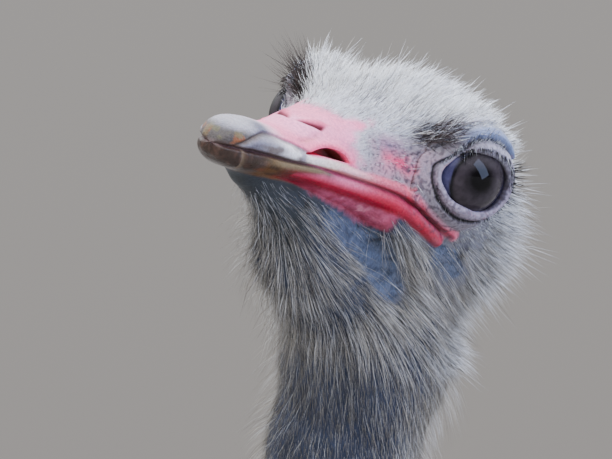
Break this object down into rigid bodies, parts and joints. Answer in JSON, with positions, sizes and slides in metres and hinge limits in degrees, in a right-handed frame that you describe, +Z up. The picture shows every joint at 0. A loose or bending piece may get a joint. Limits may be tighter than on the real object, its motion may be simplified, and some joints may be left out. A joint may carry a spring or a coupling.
{
  "type": "ostrich",
  "caption": "Life-size standing cock ostrich at rest, head turned and tilted on a tall bare neck, black body plumes, white wing and tail plumes.",
  "frame": {"origin": "on the floor under the middle of the bounding box", "axes": "+Z up, the bird faces -Y, its left side is +X"},
  "size_m": [0.5662, 1.4398, 2.379],
  "materials": {
    "head_skin": "thin blue-grey skin under pale grey down and bristles",
    "bill_horn": "worn mauve-grey horn with a rose-pink skin cap at its root",
    "eye": "wet dark brown, nearly black",
    "bare_skin": "creased blue-grey skin with sparse down",
    "black_plumes": "loose soft black plumes",
    "white_plumes": "loose soft off-white plumes",
    "leg_scales": "grey scaled skin with pinkish front scutes",
    "claw_horn": "dull dark horn"
  },
  "bodies": {
    "root": {"head": "head_skin", "bill_upper": "bill_horn", "bill_lower": "bill_horn", "eye_left": "eye", "eye_right": "eye", "neck_upper": "bare_skin", "neck_middle": "bare_skin", "neck_lower": "bare_skin", "trunk": "black_plumes", "wing_left": "black_plumes", "wing_right": "black_plumes", "tail": "white_plumes", "thigh_left": "bare_skin", "thigh_right": "bare_skin", "shank_left": "bare_skin", "shank_right": "bare_skin", "tarsus_left": "leg_scales", "tarsus_right": "leg_scales", "toe_big_left": "leg_scales", "toe_big_right": "leg_scales", "toe_outer_left": "leg_scales", "toe_outer_right": "leg_scales", "claw_big_left": "claw_horn", "claw_big_right": "claw_horn", "claw_outer_left": "claw_horn", "claw_outer_right": "claw_horn"}
  },
  "joints": []
}
